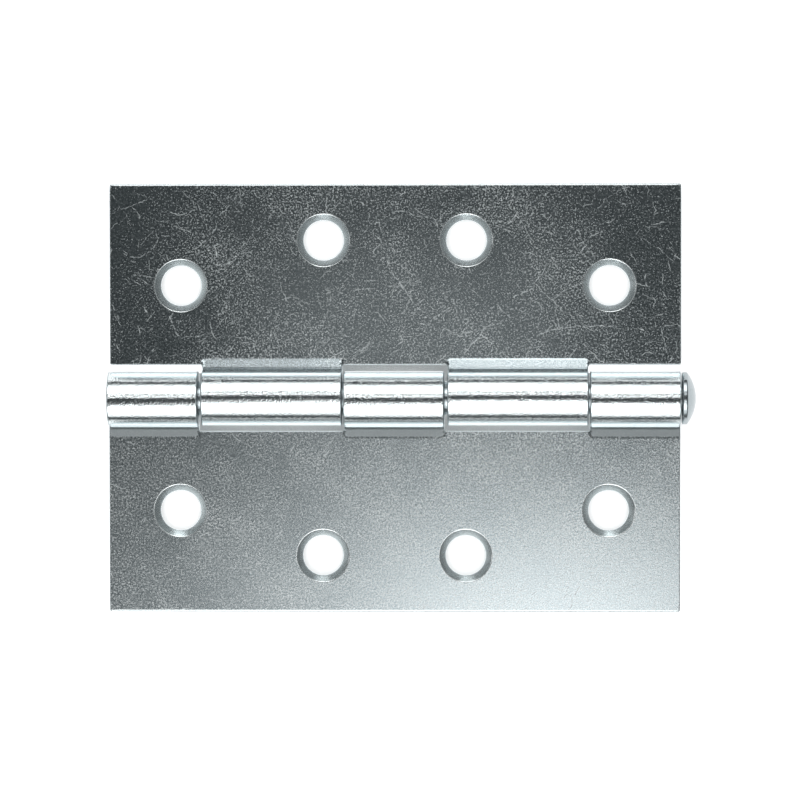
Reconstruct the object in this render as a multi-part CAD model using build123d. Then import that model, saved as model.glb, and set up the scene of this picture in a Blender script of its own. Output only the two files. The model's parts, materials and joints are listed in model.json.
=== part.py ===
from build123d import *

import os
from math import atan2, cos, degrees, hypot, radians, sin, tan

# Loose pin butt hinge, laid open flat with its knuckles up. Two leaves of punched steel sheet are each
# rolled round the pin at one edge, and the pin, which has a button head, draws out along its own axis.
# X runs along the pin towards its head, Y across the leaves and Z up, out of the countersunk faces.
# The origin is on the pin's axis, halfway along the hinge's overall length, head included.

# Driving dimensions, in millimetres and degrees
leaf_length = 100.0  # along the pin
open_width = 75.0  # across both leaves
sheet = 1.7  # thickness of the steel
closed_gap = 1.6  # between the countersunk faces when the hinge is shut
long_edge_round = 0.45  # on the strip's own edges, which are the leaves' outer edges
leaf_corner_round = 0.4  # at the leaves' outer corners, seen from above

pin_diameter = 6.0
pin_clearance = 0.05  # between pin and bore, on the radius
pin_recess = 1.0  # from the pin's tip to the barrel's end
pin_lead = 0.9  # chamfer on the pin's tip
head_diameter = 9.2
head_rim = 0.9  # height of the head's straight side
head_dome = 1.6  # height of the dome above the rim
head_edge_round = 0.3
head_gap = 0.2  # between the head and the barrel's end

middle_knuckle_length = 18.0  # from joint to joint, each joint at the middle of its gap
end_knuckle_length = 16.0  # from the leaf's end to the middle of the joint
knuckle_gap = 0.45  # axial play at each joint when the leaves are centred
leaf_shift = 0.15  # how far the two-knuckle leaf has slid towards the head
knuckle_end_chamfer = 0.25  # on the outside of each knuckle's ends

slot_clearance = 1.05  # from the barrel to the edge of the slot that it turns in
crease_setback = 1.1  # from the slot's edge to the crease where a tab dips
crease_corner = 0.8  # radius at the crease's ends, seen from above
dip_angle = 8.0  # the tab's slope between the crease and the bend under the barrel
dip_length = 1.9
tail_angle = 13.0  # the roll's end runs straight from this angle above the leaf
tail_corner = 0.6  # radius on the corners of the roll's end
seam_gap = 0.12  # from the roll's end to the leaf

hole_diameter = 7.0
sink_diameter = 9.2
sink_angle = 90.0
middle_hole_spacing = 25.0  # between the two holes near mid-length
middle_hole_margin = 9.9  # from the leaf's outer edge to the holes near mid-length
end_hole_inset = 12.5  # from the leaf's ends to the holes near them
end_hole_margin = 17.8  # from the leaf's outer edge to the holes near its ends

# Main sizes that follow from them
pin_radius = pin_diameter / 2
bore_radius = pin_radius + pin_clearance
barrel_radius = bore_radius + sheet
head_radius = head_diameter / 2
head_overhang = head_gap + head_rim + head_dome
half_length = leaf_length / 2
leaf_width = open_width / 2
front = -closed_gap / 2  # height of the countersunk faces
back = front - sheet
slot_edge = barrel_radius + slot_clearance
crease = slot_edge + crease_setback
margin = 2.0  # how far cutters and laps reach past the faces they meet


def ahead(point, distance, heading):
    """The point at a distance from another, along a heading in degrees."""
    return (point[0] + distance * cos(radians(heading)), point[1] + distance * sin(radians(heading)))


# The tab's course in the YZ plane: down the dip, round a bend that touches the dip and the roll, under
# the pin and up over it, and straight down again to the leaf. Angles are measured from +Y towards +Z.
pin_axis = (0.0, 0.0)
dip_top = (crease, front)
dip_end = ahead(dip_top, dip_length, 180 + dip_angle)
into_sheet = dip_angle - 90  # heading from the dip's front face to its back
dip_middle = ahead(dip_end, sheet / 2, into_sheet)
roll_radius = bore_radius + sheet / 2  # to the middle of the sheet
dip_depth = dip_middle[0] * cos(radians(into_sheet)) + dip_middle[1] * sin(radians(into_sheet))
bend_radius = (hypot(*dip_middle) ** 2 - roll_radius**2) / (2 * (roll_radius - dip_depth))
bend_centre = ahead(dip_middle, bend_radius, into_sheet)
bend_start = 90 + dip_angle
roll_start = degrees(atan2(bend_centre[1], bend_centre[0]))
bend_turn = 180 + roll_start - bend_start
roll_turn = 360 + roll_start - tail_angle

tail_top = ahead(pin_axis, barrel_radius, tail_angle)
drop_to_dip = tail_top[1] - front + (crease - tail_top[0]) * tan(radians(dip_angle))
tail_drop = drop_to_dip - seam_gap / cos(radians(dip_angle))
tail_length = tail_drop * cos(radians(dip_angle)) / cos(radians(tail_angle - dip_angle))
tail_heading = tail_angle - 90


def tab_section():
    """The sheet's section through a knuckle, with a lap that runs into the flat leaf."""
    lap = crease + margin
    inner_top = ahead(pin_axis, bore_radius, tail_angle)
    inner_tip = ahead(inner_top, tail_length, tail_heading)
    outer_tip = ahead(tail_top, tail_length, tail_heading)
    back_dip_end = ahead(dip_end, sheet, into_sheet)
    back_crease = (crease + sheet * tan(radians(dip_angle / 2)), back)
    with BuildSketch(Plane.YZ) as section:
        with BuildLine():
            Polyline((lap, front), dip_top, dip_end)
            CenterArc(bend_centre, bend_radius + sheet / 2, bend_start, bend_turn)
            CenterArc(pin_axis, bore_radius, roll_start, -roll_turn)
            Polyline(inner_top, inner_tip, outer_tip, tail_top)
            CenterArc(pin_axis, barrel_radius, tail_angle, roll_turn)
            CenterArc(bend_centre, bend_radius - sheet / 2, bend_start + bend_turn, -bend_turn)
            Polyline(back_dip_end, back_crease, (lap, back), (lap, front))
        make_face()
    return section.sketch


def tab_plan(start, end):
    """The part of a tab that dips, seen from above. Its corners at the crease are round.

    At the leaf's ends it runs on past the leaf, so the crease goes square to the end there.
    """
    left = start if start > -half_length else start - margin
    right = end if end < half_length else end + margin
    near = slot_edge - margin
    plan = Pos((left + right) / 2, (near + crease) / 2) * Rectangle(right - left, crease - near)
    return fillet(plan.vertices().group_by(Axis.Y)[-1], crease_corner)


def through_sheet(plan):
    """A plan outline carried up and down past the leaf."""
    return extrude(Pos(0, 0, (front + back) / 2) * plan, sheet / 2 + margin, both=True)


def knuckle_end_cutter(x, outward):
    """A ring that bevels the outside of a knuckle's end at x, as far as the roll is round."""
    inside = x - outward * knuckle_end_chamfer
    beyond = x + outward * margin
    low = barrel_radius - knuckle_end_chamfer
    high = barrel_radius + margin
    ring = [(inside, barrel_radius), (x, low), (beyond, low), (beyond, high), (inside, high)]
    with BuildSketch(Plane.XY.rotated((tail_angle, 0, 0))) as corner:
        with BuildLine():
            Polyline(*ring, close=True)
        make_face()
    return revolve(corner.sketch, Axis.X, roll_turn)


def knuckle(start, end):
    """One tab of the leaf, rolled, from one X to another."""
    tab = extrude(Pos(start, 0, 0) * tab_section(), end - start)
    tip = ahead(ahead(pin_axis, roll_radius, tail_angle), tail_length, tail_heading)
    tip_corners = [tab.edges().sort_by_distance((x, *tip))[0] for x in (start, end)]
    tab = fillet(tip_corners, tail_corner)
    square_plan = Pos((start + end) / 2, (slot_edge + crease) / 2) * Rectangle(end - start, crease_setback)
    tab -= through_sheet(square_plan - tab_plan(start, end))
    tab -= knuckle_end_cutter(start, -1)
    tab -= knuckle_end_cutter(end, 1)
    return tab


def screw_hole(x, y):
    """A clear hole and its countersink, cut from the front face."""
    flare = tan(radians(sink_angle / 2))
    sink_depth = (sink_diameter - hole_diameter) / 2 / flare
    mouth_radius = sink_diameter / 2 + margin * flare
    shank = Pos(x, y, (front + back) / 2) * Cylinder(hole_diameter / 2, sheet + 2 * margin)
    cone = Cone(hole_diameter / 2, mouth_radius, sink_depth + margin)
    return shank + Pos(x, y, front + (margin - sink_depth) / 2) * cone


def leaf(knuckle_spans):
    """A leaf that reaches from the pin towards +Y, with knuckles on the given stretches of X."""
    depth = leaf_width - slot_edge
    strip = Pos((slot_edge + leaf_width) / 2, (front + back) / 2) * Rectangle(depth, sheet)
    strip = fillet(strip.vertices().group_by(Axis.X)[-1], long_edge_round)
    plate = extrude(Plane.YZ * strip, half_length, both=True)

    plan = Pos(0, (slot_edge + leaf_width) / 2) * Rectangle(leaf_length, depth)
    plan = fillet(plan.vertices().group_by(Axis.Y)[-1], leaf_corner_round)
    for start, end in knuckle_spans:
        plan -= tab_plan(start, end)
    plate &= through_sheet(plan)

    for start, end in knuckle_spans:
        plate += knuckle(start, end)
    for side in (-1, 1):
        plate -= screw_hole(side * middle_hole_spacing / 2, leaf_width - middle_hole_margin)
        plate -= screw_hole(side * (half_length - end_hole_inset), leaf_width - end_hole_margin)
    return plate


def loose_pin():
    """The pin, turned with its head: a straight side, a low dome and a chamfered tip."""
    tip = pin_recess - half_length
    seat = half_length + head_gap
    shoulder = seat + head_rim
    crown = shoulder + head_dome
    dome_radius = (head_radius**2 + head_dome**2) / (2 * head_dome)
    under_edge = (seat, head_radius)
    upper_edge = (shoulder, head_radius)
    with BuildSketch() as profile:
        with BuildLine():
            Polyline((crown, 0), (tip, 0), (tip, pin_radius - pin_lead), (tip + pin_lead, pin_radius))
            Polyline((tip + pin_lead, pin_radius), (seat, pin_radius), under_edge, upper_edge)
            RadiusArc(upper_edge, (crown, 0), dome_radius)
        make_face()
        rim = [profile.vertices().sort_by_distance(corner)[0] for corner in (under_edge, upper_edge)]
        fillet(rim, head_edge_round)
    return revolve(profile.sketch, Axis.X)


# Stretches of X that the knuckles take up, on one side of mid-length and mirrored on the other
inner_joint = middle_knuckle_length / 2
outer_joint = half_length - end_knuckle_length
half_gap = knuckle_gap / 2
middle_end = inner_joint - half_gap
pair_start = inner_joint + half_gap
pair_end = outer_joint - half_gap
end_start = outer_joint + half_gap
pair_spans = [(-pair_end, -pair_start), (pair_start, pair_end)]
triple_spans = [(-half_length, -end_start), (-middle_end, middle_end), (end_start, half_length)]

to_origin = Pos(-head_overhang / 2, 0, 0)
nodes = {
    "three_knuckle_leaf": to_origin * Rot(0, 0, 180) * leaf(triple_spans),
    "two_knuckle_leaf": to_origin * Pos(leaf_shift, 0, 0) * leaf(pair_spans),
    "loose_pin": to_origin * loose_pin(),
}

os.makedirs("parts", exist_ok=True)
for name, solid in nodes.items():
    export_step(solid, f"parts/{name}.step")
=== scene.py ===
import json
import math

import bpy
from mathutils import Matrix, Vector, geometry, kdtree


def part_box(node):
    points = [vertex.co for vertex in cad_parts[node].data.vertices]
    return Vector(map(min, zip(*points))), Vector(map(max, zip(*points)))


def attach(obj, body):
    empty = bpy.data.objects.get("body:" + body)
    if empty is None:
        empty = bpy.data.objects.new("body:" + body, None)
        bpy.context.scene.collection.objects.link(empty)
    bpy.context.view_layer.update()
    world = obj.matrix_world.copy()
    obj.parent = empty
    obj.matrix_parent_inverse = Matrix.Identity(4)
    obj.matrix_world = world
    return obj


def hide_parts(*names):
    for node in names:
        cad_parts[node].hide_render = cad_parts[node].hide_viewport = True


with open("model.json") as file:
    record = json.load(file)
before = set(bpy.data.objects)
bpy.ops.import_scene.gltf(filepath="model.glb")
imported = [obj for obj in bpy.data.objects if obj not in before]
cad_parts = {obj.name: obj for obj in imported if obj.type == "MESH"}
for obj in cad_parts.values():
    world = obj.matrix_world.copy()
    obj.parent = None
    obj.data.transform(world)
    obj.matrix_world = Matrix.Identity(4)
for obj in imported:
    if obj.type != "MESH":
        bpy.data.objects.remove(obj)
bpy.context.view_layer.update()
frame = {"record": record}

# Three-knuckle leaf
# A leaf of bright zinc plated steel sheet, punched with four countersunk screw holes. Three tabs at its
# inner edge are rolled into knuckles round the pin, and their ends come back to the leaf in a fine seam.
mm = 0.001
sheet = 1.7 * mm
half_sheet = sheet / 2
leaf_front = -0.8 * mm  # height of the countersunk face, below the pin's axis
bore_radius = 3.05 * mm
barrel_radius = bore_radius + sheet
slot_edge = barrel_radius + 1.05 * mm  # edge of the slots that the other leaf's knuckles turn in
crease = slot_edge + 1.1 * mm  # where a tab starts to dip towards the barrel
crease_radius = 1.5 * mm
dip_angle = math.radians(8.0)
dip_length = 1.9 * mm
tail_angle = math.radians(13.0)  # the roll's end runs straight from this angle above the leaf
seam_gap = 0.12 * mm
leaf_corner = 0.4 * mm
slot_corner = 0.35 * mm
tail_corner = 0.6 * mm
crease_corner = 0.8 * mm
sheared_edge = 0.14 * mm  # rounding of punched edges
knuckle_edge = 0.18 * mm  # rounding of the knuckles' ends
strip_edge = 0.32 * mm  # rounding of the strip's own edge, the leaf's outer one
corner_edge = 0.26 * mm  # rounding at the leaf's outer corners
edge_fade = 1.5 * mm  # how far from those corners the sheared and the strip's own rounding begin
flat_band = 0.1 * mm  # narrow flat ring beside each rounded edge
back_layer = 40.0  # the third sheet coordinate on the sheet's back, which is the outside of the knuckles
sink_radius = 4.6 * mm
sink_lip = 0.16 * mm

leaf_low, leaf_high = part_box("three_knuckle_leaf")
half_length = (leaf_high.x - leaf_low.x) / 2
leaf_width = -leaf_low.y
triple_middle = (leaf_low.x + leaf_high.x) / 2
outer_joint = 34.225 * mm  # from mid-length to the inner ends of the end knuckles
middle_end = 8.775 * mm
triple_spans = [(-half_length, -outer_joint), (-middle_end, middle_end), (outer_joint, half_length)]


def ahead(point, distance, heading):
    """The point at a distance from another, along a heading in radians."""
    return point + distance * Vector((math.cos(heading), math.sin(heading)))


# The middle of the sheet through a tab, as lengths along it from the crease: a dip, a bend under the barrel
# that touches the dip and the roll, the roll round the pin, and a straight tail
into_sheet = dip_angle - math.pi / 2
roll_radius = bore_radius + half_sheet
crease_shift = half_sheet * math.tan(dip_angle / 2)
middle_crease = crease + crease_shift
dip_end = ahead(Vector((crease, leaf_front)), dip_length, math.pi + dip_angle)
dip_middle = ahead(dip_end, half_sheet, into_sheet)
dip_depth = dip_middle.x * math.cos(into_sheet) + dip_middle.y * math.sin(into_sheet)
bend_radius = (dip_middle.length_squared - roll_radius**2) / (2 * (roll_radius - dip_depth))
bend_centre = ahead(dip_middle, bend_radius, into_sheet)
roll_start = math.atan2(bend_centre.y, bend_centre.x)
bend_turn = math.pi / 2 + roll_start - dip_angle
roll_turn = 2 * math.pi + roll_start - tail_angle
tail_top = ahead(Vector((0, 0)), barrel_radius, tail_angle)
drop_to_dip = tail_top.y - leaf_front + (crease - tail_top.x) * math.tan(dip_angle)
tail_drop = drop_to_dip - seam_gap / math.cos(dip_angle)
tail_length = tail_drop * math.cos(dip_angle) / math.cos(tail_angle - dip_angle)
bend_from = dip_length - crease_shift
roll_from = bend_from + bend_radius * bend_turn
tail_from = roll_from + roll_radius * roll_turn
tab_length = tail_from + tail_length

# Rows of points across a tab, as lengths from the crease: close together over the crease and the root,
# then at equal turns round the bend and the roll. Past the root, a tab stands free of the leaf.
row_turn = math.radians(2.5)
bend_rows = round(bend_turn / row_turn)
roll_rows = round(roll_turn / row_turn)
crease_rows = [step * mm for step in (-0.8, -0.4, -0.2, -0.1, 0.0, 0.1, 0.2, 0.35, 0.5, 0.65, 0.8)]
root_rows = [step * mm for step in (1.0, 1.2, 1.4)]
free_rows = [bend_from + (roll_from - bend_from) * step / bend_rows for step in range(bend_rows)]
free_rows += [roll_from + (tail_from - roll_from) * step / roll_rows for step in range(roll_rows + 1)]
free_rows.append(tail_from + tail_length / 3)
crease_columns = [step * mm for step in (-0.9, -0.6, -0.4, -0.25, -0.1, 0.05, 0.2, 0.35, 0.5, 0.7, 0.95, 1.3)]
root_columns = [step for step in crease_columns if step > slot_corner + sheared_edge]


def at_leaf_end(x):
    """Whether the side of a tab at x is also the leaf's own end."""
    return abs(x) > half_length - slot_corner


def side_edge(row):
    """Rounding of a tab's sides at a row: more on the free part, which becomes the knuckle's ends."""
    return knuckle_edge if row in free_rows[:-1] else sheared_edge


def round_corner(before, here, after, radius, steps):
    """Points round a corner of a path, each with the direction to the path's right there."""
    before, here, after = Vector(before), Vector(here), Vector(after)
    arriving = (here - before).normalized()
    leaving = (after - here).normalized()
    right = Vector((arriving.y, -arriving.x))
    if radius == 0:
        return [(here, right)]
    turn = math.atan2(arriving.cross(leaving), arriving.dot(leaving))
    start = here - arriving * radius * math.tan(abs(turn) / 2)
    centre = start - math.copysign(radius, turn) * right
    points = []
    for step in range(steps + 1):
        rotation = Matrix.Rotation(turn * step / steps, 2)
        points.append((centre + rotation @ (start - centre), rotation @ right))
    return points


def blank_corners(spans):
    """The flat blank's outline, anticlockwise: x, y, corner radius and rounding of the edge."""
    tip = middle_crease - tab_length
    corners = []
    if not at_leaf_end(spans[0][0]):
        corners.append((-half_length, slot_edge, leaf_corner, sheared_edge))
    for left, right in spans:
        for x in (left, right):
            rows = crease_rows + root_rows + free_rows if at_leaf_end(x) else free_rows
            side = [(x, middle_crease - row, 0, side_edge(row)) for row in rows]
            if not at_leaf_end(x):
                side.insert(0, (x, slot_edge, slot_corner, sheared_edge))
            side.append((x, tip, tail_corner, sheared_edge))
            corners += side if x == left else reversed(side)
    if not at_leaf_end(spans[-1][1]):
        corners.append((half_length, slot_edge, leaf_corner, sheared_edge))
    corners += [
        (half_length, leaf_width - edge_fade, 0, sheared_edge),
        (half_length, leaf_width, leaf_corner, corner_edge),
        (half_length - edge_fade, leaf_width, 0, strip_edge),
        (edge_fade - half_length, leaf_width, 0, strip_edge),
        (-half_length, leaf_width, leaf_corner, corner_edge),
        (-half_length, leaf_width - edge_fade, 0, sheared_edge),
    ]
    return corners


def edge_rings(rounding):
    """Insets and heights of the rings of points over an edge, from the front face to the back."""
    steps = 4
    front = [(rounding + flat_band, half_sheet)]
    for step in range(steps + 1):
        angle = math.pi / 2 * step / steps
        front.append((rounding * (1 - math.sin(angle)), half_sheet - rounding * (1 - math.cos(angle))))
    return front + [(inset, -height) for inset, height in reversed(front)]


def hole_rings(hole_radius):
    """Radii and heights of the rings of points down a countersunk hole, from the front face to the back."""
    lip_steps = 4
    sink_depth = sink_radius - hole_radius
    corners = [
        (sink_radius + sink_lip, half_sheet, 0),
        (sink_radius, half_sheet, sink_lip),
        (sink_radius - sink_lip, half_sheet - sink_lip, 0),
        (hole_radius + sink_lip, half_sheet - sink_depth + sink_lip, 0),
        (hole_radius, half_sheet - sink_depth, sink_lip),
        (hole_radius, -half_sheet, sink_lip),
        (hole_radius + 2 * sink_lip, -half_sheet, 0),
    ]
    rings = [Vector(corners[0][:2])]
    for before, here, after in zip(corners, corners[1:], corners[2:]):
        rings += [point for point, _ in round_corner(before[:2], here[:2], after[:2], here[2], lip_steps)]
    return rings + [Vector(corners[-1][:2])]


def smooth_step(low, high, value):
    """0 below the low value, 1 above the high one, and an even curve between."""
    share = min(max((value - low) / (high - low), 0.0), 1.0)
    return share * share * (3 - 2 * share)


def stays_flat(point, spans):
    """1 where a point keeps to the flat leaf and 0 where it follows a tab, with a soft step between."""
    softness = 0.25 * mm
    hold = 1.0
    for left, right in spans:
        outside = max(-half_length if at_leaf_end(left) else left - point.x,
                      -half_length if at_leaf_end(right) else point.x - right)
        from_corner = Vector((outside + crease_corner, point.y - crease + crease_corner))
        if from_corner.x <= 0:
            return 0.0
        distance = from_corner.length - crease_corner if from_corner.y > 0 else outside
        freed = 1 - smooth_step(slot_edge - slot_corner, slot_edge + slot_corner / 2, point.y)
        freed *= 1 - smooth_step(0, slot_corner, outside)
        hold = min(hold, smooth_step(-softness, softness, distance) * (1 - freed))
    return hold


def flat_blank(name, spans, holes, hole_radius):
    """A leaf as punched, before its tabs are rolled: a closed mesh with its mid-plane at Z 0.

    Each point keeps how far it stays flat, and which worn or highlighted part it is on: an edge, the rim of a
    countersink, painted pale as a burnished rim and as a painted highlight, or its cone. Each face corner
    keeps its place on the sheet in millimetres, with the edges laid out flat, and the back set apart from the
    front.
    """
    corner_steps = 6
    hole_steps = 96
    hole_back_bands = 2  # bands of faces at a hole's far end that belong to the back
    same_point = 0.01 * mm
    weld_distance = 1e-4 * mm
    inside_only = 1  # the triangulation's choice of faces: those inside the outline
    plan, outward, height, wear_and_highlight = [], [], [], []
    faces, on_back = [], []

    def add_point(place, direction, level, edge=False, lip_highlight=False, cone=False):
        plan.append(place)
        outward.append(direction)
        height.append(level)
        wear_and_highlight.extend((edge, lip_highlight, cone))
        return len(plan) - 1

    def add_band(loops, first_back):
        for ring, (upper, lower) in enumerate(zip(loops, loops[1:])):
            for here in range(len(upper)):
                following = (here + 1) % len(upper)
                faces.append((lower[here], lower[following], upper[following], upper[here]))
                on_back.append(ring >= first_back)

    corners = blank_corners(spans)
    outline = []
    for i, (x, y, radius, rounding) in enumerate(corners):
        following = corners[(i + 1) % len(corners)]
        bend = round_corner(corners[i - 1][:2], (x, y), following[:2], radius, corner_steps)
        for place, direction in bend:
            outline.append((place, direction, edge_rings(rounding)))
    ring_count = len(outline[0][2])
    loops = []
    for ring in range(ring_count):
        loop = []
        for place, direction, rings in outline:
            inset, level = rings[ring]
            loop.append(add_point(place - direction * inset, direction, level, 0 < ring < ring_count - 1))
        loops.append(loop)
    add_band(loops, ring_count // 2)
    face_loops = [[loops[0]], [loops[-1]]]

    profile = hole_rings(hole_radius)
    for centre in holes:
        loops = []
        for radius, level in profile:
            # The rim of the countersink, which the plate paints pale: partly a burnished rim, partly a
            # painted highlight
            lip_highlight = abs(radius - sink_radius) < sink_lip / 2
            cone = hole_radius < radius < sink_radius and not lip_highlight
            loop = []
            for step in range(hole_steps):
                direction = ahead(Vector((0, 0)), 1.0, -2 * math.pi * step / hole_steps)
                loop.append(add_point(centre + direction * radius, -direction, level, False, lip_highlight, cone))
            loops.append(loop)
        add_band(loops, len(profile) - 1 - hole_back_bands)
        face_loops[0].append(loops[0])
        face_loops[1].append(loops[-1])

    rows = []
    for left, right in spans:
        for row in crease_rows + root_rows + free_rows:
            columns = crease_columns if row in crease_rows else root_columns
            tab_inset = side_edge(row) + flat_band
            ends = []
            for x, inward in ((left, 1), (right, -1)):
                free = at_leaf_end(x) or row in free_rows
                ends.append([x + inward * tab_inset] if free else [x + inward * column for column in columns])
            across = ends[0] + ends[1][::-1]
            rows.append([Vector((x, middle_crease - row)) for x in across])

    for back, level in enumerate((half_sheet, -half_sheet)):
        hole_edge = profile[-back].x
        places, owners, edges = [], [], []
        for loop in face_loops[back]:
            first = len(places)
            places += [plan[point] for point in loop]
            owners += loop
            edges += [(first + i, first + (i + 1) % len(loop)) for i in range(len(loop))]
        rims = kdtree.KDTree(len(places))
        for index, place in enumerate(places):
            rims.insert((*place, 0), index)
        rims.balance()
        for row in rows:
            line = []
            for place in row:
                _, index, distance = rims.find((*place, 0))
                if distance > same_point:
                    index = len(places)
                    places.append(place)
                    owners.append(None)
                line.append(index)
            edges += list(zip(line, line[1:]))
        places, _, triangles, sources, _, _ = geometry.delaunay_2d_cdt(
            places, edges, [], inside_only, weld_distance)
        points = []
        for place, source in zip(places, sources):
            known = [owners[i] for i in source if owners[i] is not None]
            points.append(known[0] if known else add_point(Vector(place), Vector((0, 0)), level))
        for triangle in triangles:
            middle = sum((places[i] for i in triangle), Vector((0, 0))) / 3
            if all((middle - centre).length > hole_edge for centre in holes):
                corner_points = [points[i] for i in triangle]
                faces.append(corner_points[::-1] if back else corner_points)
                on_back.append(bool(back))

    mesh = bpy.data.meshes.new(name)
    mesh.from_pydata([(*place, level) for place, level in zip(plan, height)], [], faces)
    holds = [stays_flat(place, spans) for place in plan]
    mesh.attributes.new("stays_flat", "FLOAT", "POINT").data.foreach_set("value", holds)
    mesh.attributes.new("wear_and_highlight", "FLOAT_VECTOR", "POINT").data.foreach_set("vector", wear_and_highlight)
    on_sheet = []
    for face, back in zip(faces, on_back):
        for point in face:
            fall = half_sheet + height[point] if back else half_sheet - height[point]
            place = (plan[point] + outward[point] * fall) / mm
            on_sheet += [*place, back_layer if back else 0.0]
    mesh.attributes.new("sheet_place", "FLOAT_VECTOR", "CORNER").data.foreach_set("vector", on_sheet)
    mesh.shade_smooth()
    return mesh


def add_node(tree, kind, inputs, **settings):
    """A new node in a tree, with its settings, and its inputs linked or set by name or number."""
    node = tree.nodes.new(kind)
    for setting, value in settings.items():
        setattr(node, setting, value)
    for key, value in inputs.items():
        if isinstance(value, bpy.types.NodeSocket):
            tree.links.new(value, node.inputs[key])
        else:
            node.inputs[key].default_value = value
    return node


def calculate(tree, operation, *values):
    """The result of a Math node."""
    return add_node(tree, "ShaderNodeMath", dict(enumerate(values)), operation=operation).outputs[0]


def ramp(tree, value, low, high, at_low=0.0, at_high=1.0, easing="LINEAR"):
    """What a value gives as it goes from low to high: one level, a slope and another level."""
    ends = {"Value": value, "From Min": low, "From Max": high, "To Min": at_low, "To Max": at_high}
    return add_node(tree, "ShaderNodeMapRange", ends, interpolation_type=easing).outputs[0]


def new_group(name, kind, inputs, outputs):
    """A new node group with the given sockets, with its two end nodes."""
    group = bpy.data.node_groups.new(name, kind)
    for way, sockets in (("INPUT", inputs), ("OUTPUT", outputs)):
        for socket, socket_kind in sockets.items():
            group.interface.new_socket(socket, in_out=way, socket_type="NodeSocket" + socket_kind)
    return group, group.nodes.new("NodeGroupInput").outputs, group.nodes.new("NodeGroupOutput").inputs


def bend_group():
    """Nodes that bend a sheet over one stretch of its length. A positive radius curls it up."""
    sizes = ("Along", "Crease", "Start", "Length", "Radius")
    inputs = {"Place": "Vector", **{size: "Float" for size in sizes}}
    group, given, result = new_group("Bend sheet", "GeometryNodeTree", inputs, {"Place": "Vector"})
    past = calculate(group, "SUBTRACT", given["Along"], given["Start"])
    bent = add_node(group, "ShaderNodeClamp", {"Value": past, "Min": 0.0, "Max": given["Length"]}).outputs[0]
    turn = calculate(group, "DIVIDE", calculate(group, "MULTIPLY", bent, -1.0), given["Radius"])
    start = calculate(group, "SUBTRACT", given["Crease"], given["Start"])
    step = add_node(group, "ShaderNodeCombineXYZ", {"Y": bent}).outputs[0]
    centre = add_node(group, "ShaderNodeCombineXYZ", {"Y": start, "Z": given["Radius"]}).outputs[0]
    drawn = add_node(group, "ShaderNodeVectorMath", {0: given["Place"], 1: step}, operation="ADD").outputs[0]
    turned = add_node(group, "ShaderNodeVectorRotate", {"Vector": drawn, "Center": centre, "Angle": turn},
                      rotation_type="X_AXIS")
    group.links.new(turned.outputs[0], result["Place"])
    return group


def rolling_tree():
    """Nodes that roll the tabs of a flat blank round the pin: the roll first, then the bend, then the dip."""
    stretches = ("Roll", "Bend", "Dip")
    sizes = ("start", "length", "radius")
    inputs = {"Geometry": "Geometry", "Crease": "Float"}
    for stretch in stretches:
        inputs |= {f"{stretch} {size}": "Float" for size in sizes}
    inputs["Plate"] = "Material"
    tree, given, result = new_group("Roll knuckles", "GeometryNodeTree", inputs, {"Geometry": "Geometry"})
    flat = tree.nodes.new("GeometryNodeInputPosition").outputs[0]
    across = add_node(tree, "ShaderNodeSeparateXYZ", {0: flat}).outputs["Y"]
    along = calculate(tree, "SUBTRACT", given["Crease"], across)
    place = flat
    bend = bend_group()
    for stretch in stretches:
        step = tree.nodes.new("GeometryNodeGroup")
        step.node_tree = bend
        values = {"Place": place, "Along": along, "Crease": given["Crease"]}
        values |= {size.capitalize(): given[f"{stretch} {size}"] for size in sizes}
        for socket, value in values.items():
            tree.links.new(value, step.inputs[socket])
        place = step.outputs["Place"]
    hold = add_node(tree, "GeometryNodeInputNamedAttribute", {"Name": "stays_flat"}, data_type="FLOAT")
    mixed = add_node(tree, "ShaderNodeMix", {0: hold.outputs["Attribute"], 4: place, 5: flat},
                     data_type="VECTOR")
    moved = add_node(tree, "GeometryNodeSetPosition", {
        "Geometry": given["Geometry"], "Position": mixed.outputs[1]})
    real = add_node(tree, "GeometryNodeRealizeInstances", {0: moved.outputs[0]})
    plated = add_node(tree, "GeometryNodeSetMaterial", {
        "Geometry": real.outputs[0], "Material": given["Plate"]})
    tree.links.new(plated.outputs[0], result["Geometry"])
    return tree


knuckle_rolling = rolling_tree()


def rolled_leaf(name, blank, plate, placement):
    """A leaf's finished object: its blank with the knuckles rolled, set in place."""
    leaf = bpy.data.objects.new(name, blank)
    bpy.context.scene.collection.objects.link(leaf)
    rolling = leaf.modifiers.new("Roll knuckles", "NODES")
    rolling.node_group = knuckle_rolling
    sizes = {
        "Crease": middle_crease,
        "Roll start": roll_from,
        "Roll length": roll_radius * roll_turn,
        "Roll radius": roll_radius,
        "Bend start": bend_from,
        "Bend length": bend_radius * bend_turn,
        "Bend radius": -bend_radius,
        "Dip start": -crease_radius * dip_angle / 2,
        "Dip length": crease_radius * dip_angle,
        "Dip radius": -crease_radius,
        "Plate": plate,
    }
    for socket in knuckle_rolling.interface.items_tree:
        if socket.name in sizes and socket.in_out == "INPUT":
            rolling[socket.identifier] = sizes[socket.name]
    depsgraph = bpy.context.evaluated_depsgraph_get()
    mesh = bpy.data.meshes.new_from_object(leaf.evaluated_get(depsgraph), preserve_all_data_layers=True,
                                           depsgraph=depsgraph)
    leaf.modifiers.clear()
    leaf.data = mesh
    bpy.data.meshes.remove(blank)
    mesh.name = name
    mesh.transform(placement)
    return leaf


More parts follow.
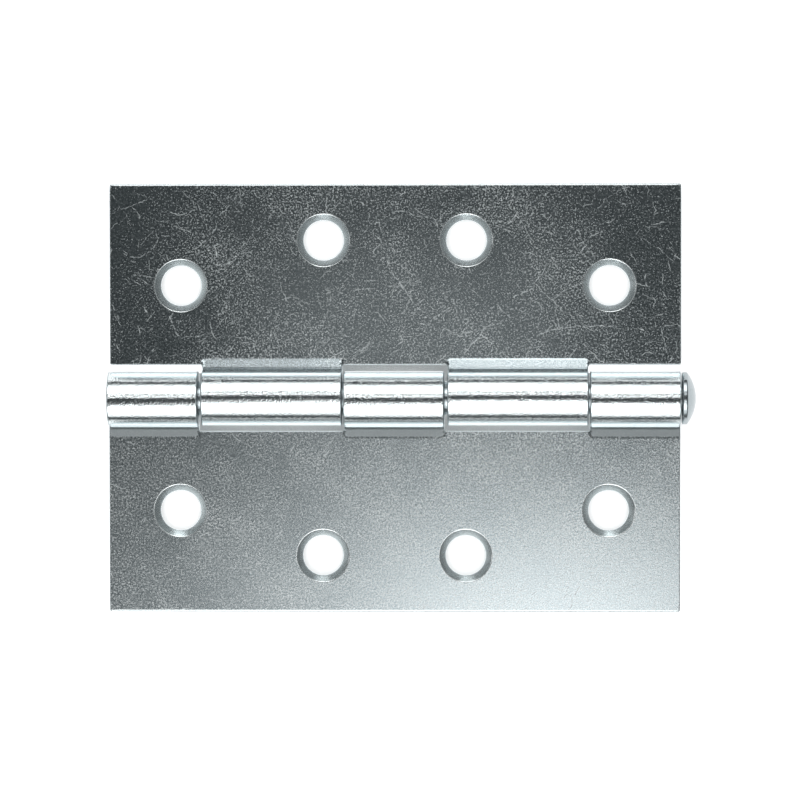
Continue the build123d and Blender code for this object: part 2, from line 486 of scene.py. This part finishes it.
def scratch_group():
    """One scratch in each cell of a scatter, straight or curved, at a random turn, length and strength."""
    shortest = 0.3  # against the longest scratch
    faintest = 0.7  # against the strongest
    fade_from = 0.5  # share of its reach at which a scratch starts to fade
    kept_draw = 7.31  # these two stretch a drawn value, whose fraction is then a new draw
    strength_draw = 5.7
    sizes = ("Cell", "Width", "Reach", "Curl", "Share")
    inputs = {"Place": "Vector", "Shift": "Vector", **{size: "Float" for size in sizes}}
    group, given, result = new_group("Scratches", "ShaderNodeTree", inputs, {"Scratch": "Float"})
    shrink = calculate(group, "DIVIDE", 1.0, given["Cell"])
    scaled = add_node(group, "ShaderNodeVectorMath", {0: given["Place"], "Scale": shrink}, operation="SCALE")
    place = add_node(group, "ShaderNodeVectorMath", {0: scaled.outputs[0], 1: given["Shift"]},
                     operation="ADD").outputs[0]
    cells = add_node(group, "ShaderNodeTexVoronoi", {"Vector": place, "Scale": 1.0},
                     voronoi_dimensions="2D", feature="F1")
    draws = add_node(group, "ShaderNodeSeparateColor", {0: cells.outputs["Color"]}).outputs
    offset = add_node(group, "ShaderNodeVectorMath", {0: place, 1: cells.outputs["Position"]},
                      operation="SUBTRACT")
    turn = calculate(group, "MULTIPLY", draws[0], 2 * math.pi)
    turned = add_node(group, "ShaderNodeVectorRotate", {"Vector": offset.outputs[0], "Angle": turn},
                      rotation_type="Z_AXIS")
    along, aside, _ = add_node(group, "ShaderNodeSeparateXYZ", {0: turned.outputs[0]}).outputs
    curve = calculate(group, "MULTIPLY", calculate(group, "SUBTRACT", draws[1], 0.5), given["Curl"])
    aside = calculate(group, "MULTIPLY_ADD", calculate(group, "MULTIPLY", along, along), curve, aside)
    width = calculate(group, "MULTIPLY", given["Width"], shrink)
    ridge = ramp(group, calculate(group, "ABSOLUTE", aside), 0.0, width, 1.0, 0.0, "SMOOTHSTEP")
    stretch = calculate(group, "MULTIPLY_ADD", draws[2], 1 - shortest, shortest)
    reach = calculate(group, "MULTIPLY", given["Reach"], stretch)
    way = calculate(group, "DIVIDE", calculate(group, "ABSOLUTE", along), reach)
    taper = ramp(group, way, fade_from, 1.0, 1.0, 0.0, "SMOOTHSTEP")
    lot = calculate(group, "FRACT", calculate(group, "MULTIPLY", draws[1], kept_draw))
    kept = calculate(group, "LESS_THAN", lot, given["Share"])
    force = calculate(group, "FRACT", calculate(group, "MULTIPLY", draws[2], strength_draw))
    strength = calculate(group, "MULTIPLY_ADD", force, 1 - faintest, faintest)
    shown = calculate(group, "MULTIPLY", calculate(group, "MULTIPLY", ridge, taper),
                      calculate(group, "MULTIPLY", kept, strength))
    group.links.new(shown, result["Scratch"])
    return group


def grain_group():
    """The plate's crystal speckle, its cloudy patches and the ripple of rolled metal, each from 0 to 1."""
    group, given, result = new_group("Plate grain", "ShaderNodeTree", {"Place": "Vector", "Grain": "Float"},
                                     {"Speckle": "Float", "Patches": "Float", "Ripple": "Float"})
    fineness = calculate(group, "DIVIDE", 1.0, given["Grain"])
    # Each noise has its scale to the millimetre, its detail, and the levels that become 0 and 1
    for name, scale, detail, low, high in (
        ("Speckle", fineness, 1.5, 0.36, 0.64),
        ("Patches", 0.07, 6.0, 0.32, 0.68),
        ("Ripple", 2.8, 2.0, 0.0, 1.0),
    ):
        noise = add_node(group, "ShaderNodeTexNoise", {
            "Vector": given["Place"], "Scale": scale, "Detail": detail, "Roughness": 0.65})
        group.links.new(ramp(group, noise.outputs[0], low, high), result[name])
    return group


scratches = scratch_group()
grain = grain_group()


def zinc_plate(name, film, haze, sparkle, speckle_light, end_grain, strip_haze, strip_light, roll_lean,
               layers):
    """Bright zinc on steel sheet: speckled, cloudy and scratched, and rougher where it is light.

    Film is an even dullness, and haze what the speckle adds to it. More sparkle leaves fewer flecks, and
    end grain is how strong they still are near the leaf's ends. Strip haze and strip light are for the inner
    face of the tabs, beside the barrel. The lean is a slope in the shading of rolls that aren't quite round.
    Layers give the scratches' cell size and width in millimetres, their reach in cells, their curl and the
    share of cells used.
    """
    dark_zinc = (0.415, 0.475, 0.495, 1)
    pale_zinc = (0.90, 0.94, 0.945, 1)
    polished, dull = 0.06, 0.5  # roughness
    crease_start, crease_end = crease / mm + 0.2, crease / mm - 0.1  # millimetres, as all places on the sheet
    end_fade_from, end_fade_to = 28.0, 46.0  # distances from mid-length between which the flecks change
    strip_cover = 0.8  # how far the strips' finish hides the plate's
    grain_size = 0.28
    waver = 1.6  # how far a scratch strays from its line
    layer_shift = (3.7, 1.9, 0.0)  # in cells, so that no two layers share their draws
    skip_end, skip_start = 0.32, 0.52  # noise at which a scratch is gone, and at which it is whole
    gap_end, gap_start = 0.36, 0.54  # and the same for the flecks
    least_scratch = 0.7  # strength left where the plate is least cloudy
    least_fleck = 0.4
    least_ragged = 0.36  # dullness left on a sheared edge
    sheared_light, sheared_speckle = 0.45, 0.4
    relief_depth = 0.015
    flat_speckle = 0.1  # heights against that depth
    rolled_speckle = 0.6
    rolled_ripple = 1.5

    material = bpy.data.materials.new(name)
    material.use_nodes = True
    tree = material.node_tree
    shader = tree.nodes["Principled BSDF"]
    shader.inputs["Metallic"].default_value = 1.0

    # Where a point is on the sheet, and how the sheet was worked there
    place = add_node(tree, "ShaderNodeAttribute", {}, attribute_name="sheet_place").outputs["Vector"]
    wear_and_highlight = add_node(tree, "ShaderNodeAttribute", {}, attribute_name="wear_and_highlight").outputs["Vector"]
    edge, lip_highlight, cone = add_node(tree, "ShaderNodeSeparateXYZ", {0: wear_and_highlight}).outputs
    hold = add_node(tree, "ShaderNodeAttribute", {}, attribute_name="stays_flat").outputs["Fac"]
    lengthwise, across, side = add_node(tree, "ShaderNodeSeparateXYZ", {0: place}).outputs
    past_crease = ramp(tree, across, crease_start, crease_end)
    in_tab = calculate(tree, "MULTIPLY", past_crease, calculate(tree, "SUBTRACT", 1.0, hold))
    on_back = calculate(tree, "GREATER_THAN", side, back_layer / 2)
    rolled = calculate(tree, "MULTIPLY", in_tab, on_back)
    strip = calculate(tree, "MULTIPLY", calculate(tree, "SUBTRACT", in_tab, rolled), strip_cover)

    # The scratches, which waver and skip, and the flecks, which thin out in places
    speckle, patches, ripple = add_node(tree, "ShaderNodeGroup", {"Place": place, "Grain": grain_size},
                                        node_tree=grain).outputs
    wander = add_node(tree, "ShaderNodeTexNoise", {
        "Vector": place, "Scale": 0.5, "Detail": 4.0, "Roughness": 0.6}).outputs["Color"]
    wavering = add_node(tree, "ShaderNodeVectorMath", {0: wander, 1: (waver, waver, 0.0), 2: place},
                        operation="MULTIPLY_ADD").outputs[0]
    scratched = None
    for number, (cell, width, reach, curl, share) in enumerate(layers):
        scatter = add_node(tree, "ShaderNodeGroup", {
            "Place": wavering, "Shift": [number * shift for shift in layer_shift], "Cell": cell,
            "Width": width, "Reach": reach, "Curl": curl, "Share": share}, node_tree=scratches)
        layer = scatter.outputs["Scratch"]
        scratched = calculate(tree, "MAXIMUM", scratched, layer) if scratched else layer
    skips = add_node(tree, "ShaderNodeTexNoise", {"Vector": wavering, "Scale": 1.3, "Detail": 2.0}).outputs[0]
    scratched = calculate(tree, "MULTIPLY", scratched, ramp(tree, skips, skip_end, skip_start))
    worn = calculate(tree, "MULTIPLY_ADD", patches, 1 - least_scratch, least_scratch)
    scratched = calculate(tree, "MULTIPLY", scratched, worn)
    # Towards the leaf's ends the flecks grow weaker, down to the end grain
    end_fade = ramp(tree, calculate(tree, "ABSOLUTE", lengthwise), end_fade_from, end_fade_to, 1.0, end_grain)
    cloudy = calculate(tree, "MULTIPLY_ADD", patches, 1 - least_fleck, least_fleck)
    gaps = ramp(tree, ripple, gap_end, gap_start)
    flecks = calculate(tree, "POWER", calculate(tree, "MULTIPLY", speckle, gaps), sparkle)
    sparse = calculate(tree, "MULTIPLY", flecks, calculate(tree, "MULTIPLY", cloudy, end_fade))

    # How dull and how light the plate is: on the flat first, and then on what was rolled, cut or sheared
    dulled = calculate(tree, "MAXIMUM", calculate(tree, "MULTIPLY_ADD", sparse, haze, film), scratched)
    lightness = calculate(tree, "MAXIMUM", calculate(tree, "MULTIPLY", sparse, speckle_light), scratched)
    ragged = calculate(tree, "MULTIPLY_ADD", speckle, 1 - least_ragged, least_ragged)
    off_tabs = calculate(tree, "MULTIPLY_ADD", in_tab, -sheared_light, sheared_light)
    sheared = calculate(tree, "MULTIPLY_ADD", speckle, sheared_speckle, off_tabs)
    # Each finish covers a share of the plate, with its own dullness and lightness
    for share, dull_there, light_there in (
        (rolled, 0.02, 0.75),
        (strip, strip_haze, strip_light),
        (cone, 0.41, 0.6),
        # The countersink's rim is painted pale and dull: partly a burnished rim, partly a painted highlight
        (lip_highlight, 0.45, 1.0),
        (edge, ragged, sheared),
    ):
        dulled = add_node(tree, "ShaderNodeMix", {0: share, 2: dulled, 3: dull_there}).outputs[0]
        lightness = add_node(tree, "ShaderNodeMix", {0: share, 2: lightness, 3: light_there}).outputs[0]
    colour = add_node(tree, "ShaderNodeMix", {0: lightness, 6: dark_zinc, 7: pale_zinc}, data_type="RGBA")

    # The relief: a fine grain on the flat, and on the rolls a ripple and their lean
    relief = calculate(tree, "MULTIPLY", speckle, flat_speckle)
    ripples = calculate(tree, "MULTIPLY_ADD", ripple, rolled_ripple,
                        calculate(tree, "MULTIPLY", speckle, rolled_speckle))
    rolled_relief = calculate(tree, "MULTIPLY_ADD", across, -roll_lean / relief_depth, ripples)
    height = add_node(tree, "ShaderNodeMix", {0: rolled, 2: relief, 3: rolled_relief}).outputs[0]
    bump = add_node(tree, "ShaderNodeBump", {
        "Height": height, "Distance": relief_depth * mm, "Strength": 1.0})
    tree.links.new(colour.outputs[2], shader.inputs["Base Color"])
    tree.links.new(ramp(tree, dulled, 0.0, 1.0, polished, dull), shader.inputs["Roughness"])
    tree.links.new(bump.outputs[0], shader.inputs["Normal"])
    return material


def screw_holes(leaf, side, middle):
    """Centres of a leaf's screw holes in its flat blank, and their radius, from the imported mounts."""
    centres = []
    for mount in frame["record"]["mounts"]:
        if mount["kind"] == "bolt_pattern" and mount["name"].startswith(leaf):
            x, y, _ = mount["pos_m"]
            reach = mount["dims"]["spacing_x_mm"] * mm / 2
            hole_radius = mount["dims"]["hole_r_mm"] * mm
            centres += [Vector((side * (x - middle) + way * reach, side * y)) for way in (-1, 1)]
    return centres, hole_radius


worn_zinc = zinc_plate(
    "three_knuckle_zinc", film=0.25, haze=0.41, sparkle=1.0, speckle_light=1.2, end_grain=1.0,
    strip_haze=0.55, strip_light=0.4, roll_lean=0.12, layers=[
        (14.0, 0.17, 0.40, 0.5, 0.6),
        (6.0, 0.16, 0.45, 1.0, 0.5),
        (3.0, 0.14, 0.42, 1.5, 0.4),
        (0.9, 0.12, 0.12, 0.0, 0.4),
    ])
blank = flat_blank("three_knuckle_blank", triple_spans, *screw_holes("three_knuckle_leaf", -1, triple_middle))
half_turn = Matrix.Rotation(math.pi, 4, "Z")
turned_round = Matrix.Translation((triple_middle, 0, leaf_front - half_sheet)) @ half_turn
three_knuckle = rolled_leaf("three_knuckle_sheet", blank, worn_zinc, turned_round)
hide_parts("three_knuckle_leaf")
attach(three_knuckle, "three_knuckle_leaf")

# Two-knuckle leaf
# The other leaf, cut and rolled from the same zinc plated sheet, with two knuckles that fit between the
# three. It has lain under others, and its face is covered with fine curled and straight scratches.
leaf_low, leaf_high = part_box("two_knuckle_leaf")
pair_middle = (leaf_low.x + leaf_high.x) / 2
joint_gap = 0.45 * mm
pair_start = middle_end + joint_gap
pair_end = outer_joint - joint_gap
pair_spans = [(-pair_end, -pair_start), (pair_start, pair_end)]
scratched_zinc = zinc_plate(
    "two_knuckle_zinc", film=0.09, haze=0.91, sparkle=1.3, speckle_light=1.1, end_grain=0.6,
    strip_haze=0.18, strip_light=0.05, roll_lean=0.0, layers=[
        (17.0, 0.17, 0.45, 0.4, 0.9),
        (12.0, 0.16, 0.45, 0.8, 0.9),
        (9.0, 0.15, 0.45, 0.6, 0.9),
        (8.0, 0.15, 0.45, 2.5, 0.9),
        (6.0, 0.14, 0.45, 1.0, 0.9),
        (5.0, 0.14, 0.45, 3.0, 0.8),
        (3.4, 0.13, 0.45, 1.5, 0.7),
        (0.8, 0.16, 0.18, 0.0, 0.4),
    ])
blank = flat_blank("two_knuckle_blank", pair_spans, *screw_holes("two_knuckle_leaf", 1, pair_middle))
set_down = Matrix.Translation((pair_middle, 0, leaf_front - half_sheet))
two_knuckle = rolled_leaf("two_knuckle_sheet", blank, scratched_zinc, set_down)
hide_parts("two_knuckle_leaf")
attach(two_knuckle, "two_knuckle_leaf")

# Loose pin
# A turned steel pin with a low domed button head, plated like the leaves. It is a sliding fit in the
# knuckles, and its chamfered tip stops just short of the barrel's other end.
pin_low, pin_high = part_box("loose_pin")
pin_radius = 3.0 * mm
pin_lead = 0.9 * mm
head_radius = 4.6 * mm
head_rim = 0.9 * mm
head_dome = 1.6 * mm
head_round = 0.3 * mm
tip_round = 0.1 * mm
lead_round = 0.15 * mm
seat_round = 0.05 * mm
shoulder = pin_high.x - head_dome
seat = shoulder - head_rim


def pin_profile():
    """The pin's outline from tip to crown, as places along the axis and radii."""
    dome_radius = (head_radius**2 + head_dome**2) / (2 * head_dome)
    dome_turn = math.asin(head_radius / dome_radius)
    dome_steps = 16
    corner_steps = 6
    dome = []
    # The rounded rim takes up the dome's first step
    for step in range(2, dome_steps):
        angle = dome_turn * (1 - step / dome_steps)
        dome.append((pin_high.x - dome_radius * (1 - math.cos(angle)), dome_radius * math.sin(angle)))
    corners = [
        (pin_low.x, 0, 0),
        (pin_low.x, pin_radius - pin_lead, tip_round),
        (pin_low.x + pin_lead, pin_radius, lead_round),
        (seat, pin_radius, seat_round),
        (seat, head_radius, head_round),
        (shoulder, head_radius, head_round),
        (*dome[0], 0),
    ]
    profile = []
    for before, here, after in zip(corners, corners[1:], corners[2:]):
        bend = round_corner(before[:2], here[:2], after[:2], here[2], corner_steps)
        profile += [point for point, _ in bend]
    return profile + [Vector(place) for place in dome]


def lathe(name, profile, tip, crown):
    """A closed mesh turned about X, with a pole at each end."""
    steps = 96
    points = [(tip, 0.0, 0.0)]
    for place, radius in profile:
        for step in range(steps):
            angle = 2 * math.pi * step / steps
            points.append((place, radius * math.cos(angle), radius * math.sin(angle)))
    points.append((crown, 0.0, 0.0))
    last = len(points) - 1
    faces = []
    for step in range(steps):
        following = (step + 1) % steps
        faces.append((0, 1 + following, 1 + step))
        faces.append((last, last - steps + step, last - steps + following))
        for ring in range(len(profile) - 1):
            low = 1 + ring * steps
            high = low + steps
            faces.append((low + step, low + following, high + following, high + step))
    mesh = bpy.data.meshes.new(name)
    mesh.from_pydata(points, [], faces)
    mesh.shade_smooth()
    return mesh


def pin_zinc():
    """Bright zinc on turned steel: smooth, with a faint speckle and cloudy patches."""
    dark_pin = (0.34, 0.385, 0.40, 1)
    pale_pin = (0.48, 0.52, 0.54, 1)
    smooth, dull = 0.12, 0.25  # roughness
    grain_size = 0.25  # in millimetres, as the relief
    relief_depth = 0.004
    material = bpy.data.materials.new("pin_zinc")
    material.use_nodes = True
    tree = material.node_tree
    shader = tree.nodes["Principled BSDF"]
    shader.inputs["Metallic"].default_value = 1.0
    metres = tree.nodes.new("ShaderNodeTexCoord").outputs["Object"]
    place = add_node(tree, "ShaderNodeVectorMath", {0: metres, "Scale": 1 / mm}, operation="SCALE").outputs[0]
    speckle, patches, _ = add_node(tree, "ShaderNodeGroup", {"Place": place, "Grain": grain_size},
                                   node_tree=grain).outputs
    shade = calculate(tree, "MULTIPLY_ADD", speckle, 0.5, calculate(tree, "MULTIPLY", patches, 0.5))
    colour = add_node(tree, "ShaderNodeMix", {0: shade, 6: dark_pin, 7: pale_pin}, data_type="RGBA")
    bump = add_node(tree, "ShaderNodeBump", {
        "Height": speckle, "Distance": relief_depth * mm, "Strength": 1.0})
    tree.links.new(colour.outputs[2], shader.inputs["Base Color"])
    tree.links.new(ramp(tree, shade, 0.0, 1.0, smooth, dull), shader.inputs["Roughness"])
    tree.links.new(bump.outputs[0], shader.inputs["Normal"])
    return material


pin_mesh = lathe("pin", pin_profile(), pin_low.x, pin_high.x)
pin_mesh.materials.append(pin_zinc())
pin = bpy.data.objects.new("pin", pin_mesh)
bpy.context.scene.collection.objects.link(pin)
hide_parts("loose_pin")
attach(pin, "loose_pin")

# Floor and light
# A white table under the hinge, which shows white where it lies open. The glow the camera sees has painted
# shade where the hinge closes over the table and is painted white again in the end slots, and the glow that
# metal mirrors is painted dimmer far in front. Long soft boxes stand behind and in front, each with a dimmer
# skirt below it, and a strip, two fills, a faint glow overhead and a box past the pin's tip give the flat
# leaves and the barrel something to mirror. The room's walls are pale.
floor_height = -barrel_radius
floor_reach = 3.0
floor_grey = (0.66, 0.66, 0.66, 1)
plain_white = (1, 1, 1, 1)
shade_reach = 8 * mm  # within which the hinge dims the table's glow, as painted shade
shut, clear = 0.27, 0.45  # openness at which the table glows least and most
least_glow, most_glow = 0.01, 0.9
slot_start = 0.9 * barrel_radius  # from here to the crease, the end slots are painted white, clear of the painted shade
mirrored_far, mirrored_near = -120 * mm, -50 * mm  # where the table's glow, as metal mirrors it, is painted lighter towards the hinge
far_glow, near_glow = 0.1, 0.8

floor_corners = [(-floor_reach, -floor_reach), (floor_reach, -floor_reach)]
floor_corners += [(-x, -y) for x, y in floor_corners]
floor_mesh = bpy.data.meshes.new("table")
floor_mesh.from_pydata([(*corner, floor_height) for corner in floor_corners], [], [(0, 1, 2, 3)])
floor = bpy.data.objects.new("table", floor_mesh)
bpy.context.scene.collection.objects.link(floor)
floor_material = bpy.data.materials.new("table")
floor_material.use_nodes = True
tree = floor_material.node_tree
tree.nodes.remove(tree.nodes["Principled BSDF"])
seen = tree.nodes.new("ShaderNodeLightPath").outputs
# Painted shade: the glow the camera sees dims where the hinge closes over the table
openness = add_node(tree, "ShaderNodeAmbientOcclusion", {"Distance": shade_reach}, samples=6).outputs["AO"]
spot = tree.nodes.new("ShaderNodeTexCoord").outputs["Object"]
along_pin, across_pin, _ = add_node(tree, "ShaderNodeSeparateXYZ", {0: spot}).outputs
# Painted light: in the end slots beside the barrel, the table's glow is painted full, as if nothing shaded it
lengthwise = calculate(tree, "SUBTRACT", along_pin, triple_middle)
past_pair = calculate(tree, "GREATER_THAN", calculate(tree, "ABSOLUTE", lengthwise), pair_end)
past_barrel = calculate(tree, "GREATER_THAN", across_pin, slot_start)
before_leaf = calculate(tree, "LESS_THAN", across_pin, crease)
beside_barrel = calculate(tree, "MULTIPLY", past_barrel, before_leaf)
end_slot_painted_white = calculate(tree, "MULTIPLY", past_pair, beside_barrel)
open_or_painted_white = calculate(tree, "MAXIMUM", openness, end_slot_painted_white)
seen_glow_with_painted_shade = ramp(tree, open_or_painted_white, shut, clear, least_glow, most_glow)
# Painted light: the glow that metal mirrors is painted dimmer far in front of the hinge
mirrored_glow_painted = ramp(tree, across_pin, mirrored_far, mirrored_near, far_glow, near_glow)
mirrored = calculate(tree, "MAXIMUM", seen["Is Glossy Ray"], seen["Is Transmission Ray"])
own_light = calculate(tree, "MAXIMUM", calculate(tree, "MULTIPLY", seen["Is Camera Ray"], seen_glow_with_painted_shade),
                      calculate(tree, "MULTIPLY", mirrored, mirrored_glow_painted))
glow = add_node(tree, "ShaderNodeEmission", {"Color": plain_white, "Strength": own_light})
matt = add_node(tree, "ShaderNodeBsdfDiffuse", {"Color": floor_grey})
white = add_node(tree, "ShaderNodeAddShader", {0: glow.outputs[0], 1: matt.outputs[0]})
tree.links.new(white.outputs[0], tree.nodes["Material Output"].inputs["Surface"])
floor_mesh.materials.append(floor_material)


def soft_box(name, near, far, start, end, radiance, turn=0.0):
    """A soft box that faces the hinge, along X from start to end.

    It leans from the vertical towards +Y, from the near angle to the far one. A turn about Z sets it to
    another side of the hinge.
    """
    distance = 0.6
    lean = math.radians((near + far) / 2)
    lamp = bpy.data.lights.new(name, "AREA")
    lamp.shape = "RECTANGLE"
    lamp.size = end - start
    lamp.size_y = 2 * distance * math.tan(math.radians(abs(far - near) / 2))
    lamp.energy = radiance * math.pi * lamp.size * lamp.size_y
    box = bpy.data.objects.new(name, lamp)
    bpy.context.scene.collection.objects.link(box)
    leaning = Matrix.Rotation(math.radians(turn), 4, "Z") @ Matrix.Rotation(-lean, 4, "X")
    box.matrix_world = leaning @ Matrix.Translation(((start + end) / 2, 0, distance))


long_start, long_end = -0.2, 0.14
soft_box("back_box", near=33.0, far=60.0, start=long_start, end=long_end, radiance=2.8)
soft_box("back_skirt", near=60.0, far=73.0, start=long_start, end=long_end, radiance=1.1)
soft_box("back_strip", near=17.0, far=26.0, start=long_start, end=long_end, radiance=1.6)
soft_box("front_box", near=-18.8, far=-50.0, start=long_start, end=long_end, radiance=2.8)
soft_box("front_skirt", near=-50.0, far=-70.0, start=long_start, end=long_end, radiance=1.1)
soft_box("left_fill", near=-6.5, far=-16.5, start=-0.085, end=-0.02, radiance=0.75)
soft_box("right_fill", near=-6.5, far=-16.5, start=-0.02, end=0.09, radiance=2.6)
soft_box("overhead_glow", near=-5.0, far=2.6, start=-0.06, end=0.035, radiance=0.19)
soft_box("side_box", near=65.0, far=80.0, start=-0.1, end=0.1, radiance=1.5, turn=90.0)

cool_white = (0.9, 0.98, 1, 1)
dark_room, pale_wall = 0.065, 0.3  # strengths
wall_foot, wall_lit = 0.1, 0.35  # heights on a ball round the hinge, from 0 at its level to 1 overhead
wall_end, wall_top = 0.7, 0.92
world = bpy.data.worlds.new("studio")
bpy.context.scene.world = world
world.use_nodes = True
tree = world.node_tree
surround = tree.nodes["Background"]
seen = tree.nodes.new("ShaderNodeLightPath").outputs
tint = add_node(tree, "ShaderNodeMix", {0: seen["Is Camera Ray"], 6: cool_white, 7: plain_white},
                data_type="RGBA")
heading = tree.nodes.new("ShaderNodeTexCoord").outputs["Generated"]
rise = add_node(tree, "ShaderNodeSeparateXYZ", {0: heading}).outputs["Z"]
above_table = ramp(tree, rise, wall_foot, wall_lit)
below_ceiling = ramp(tree, rise, wall_top, wall_end)
walls = calculate(tree, "MULTIPLY", above_table, below_ceiling)
level = ramp(tree, walls, 0.0, 1.0, dark_room, pale_wall)
tree.links.new(tint.outputs[2], surround.inputs["Color"])
tree.links.new(calculate(tree, "MAXIMUM", level, seen["Is Camera Ray"]), surround.inputs["Strength"])

# Camera
# It looks straight down on the hinge through a long lens, a couple of degrees off square.
camera_target = Vector((-0.315 * mm, -0.297 * mm, 0))
camera_distance = 0.75
picture_pixels = 800
pixels_per_mm = 5.7221
picture_width = picture_pixels / pixels_per_mm * mm
camera_turn = Matrix.Identity(4)
for axis, degrees in (("Z", -0.063), ("Y", 1.621), ("X", -1.997)):
    camera_turn = camera_turn @ Matrix.Rotation(math.radians(degrees), 4, axis)
lens = bpy.data.cameras.new("camera")
lens.sensor_width = 36
lens.lens = lens.sensor_width * camera_distance / picture_width
lens.clip_end = 10
camera = bpy.data.objects.new("camera", lens)
bpy.context.scene.collection.objects.link(camera)
stand_off = Matrix.Translation((0, 0, camera_distance))
camera.matrix_world = Matrix.Translation(camera_target) @ camera_turn @ stand_off
bpy.context.scene.camera = camera
bpy.context.scene.view_settings.view_transform = "Standard"
